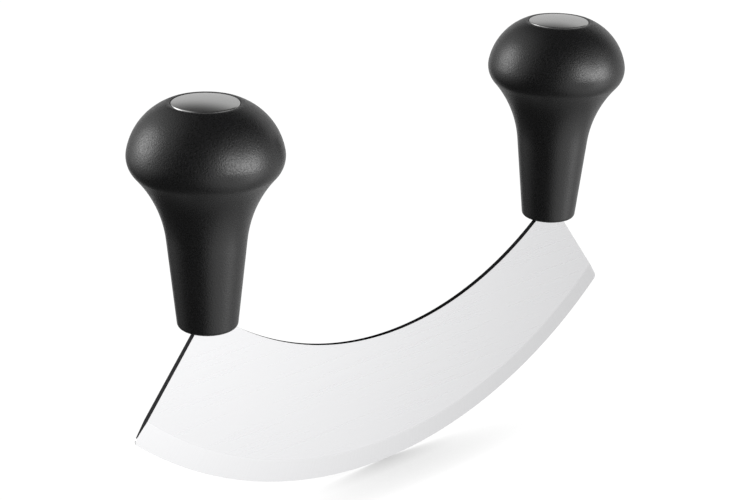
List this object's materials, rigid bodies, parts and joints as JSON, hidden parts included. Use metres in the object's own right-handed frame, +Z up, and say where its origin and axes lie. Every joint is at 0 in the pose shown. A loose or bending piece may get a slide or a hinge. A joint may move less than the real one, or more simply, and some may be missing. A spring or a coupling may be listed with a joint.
{
  "type": "mezzaluna",
  "caption": "Rocking mincing knife: a crescent steel blade, bevelled along its convex edge, with an upright black knob handle fixed at each end and a steel cap in each knob.",
  "frame": {"origin": "lowest point of the cutting edge, midway between the handles", "axes": "+X along the blade towards the right handle, +Y across the blade's thickness, +Z up along the handles"},
  "size_m": [0.1788, 0.04, 0.121],
  "materials": {
    "blade_steel": "fine satin",
    "handle_plastic": "moulded, fine matt grain",
    "cap_steel": "polished",
    "fastener_steel": "as turned"
  },
  "bodies": {
    "root": {"blade": "blade_steel", "left_handle": "handle_plastic", "left_cap": "cap_steel", "left_tang_rod": "fastener_steel", "left_tang_rivet": "fastener_steel", "left_washer": "fastener_steel", "left_nut": "fastener_steel", "right_handle": "handle_plastic", "right_cap": "cap_steel", "right_tang_rod": "fastener_steel", "right_tang_rivet": "fastener_steel", "right_washer": "fastener_steel", "right_nut": "fastener_steel"}
  },
  "joints": []
}
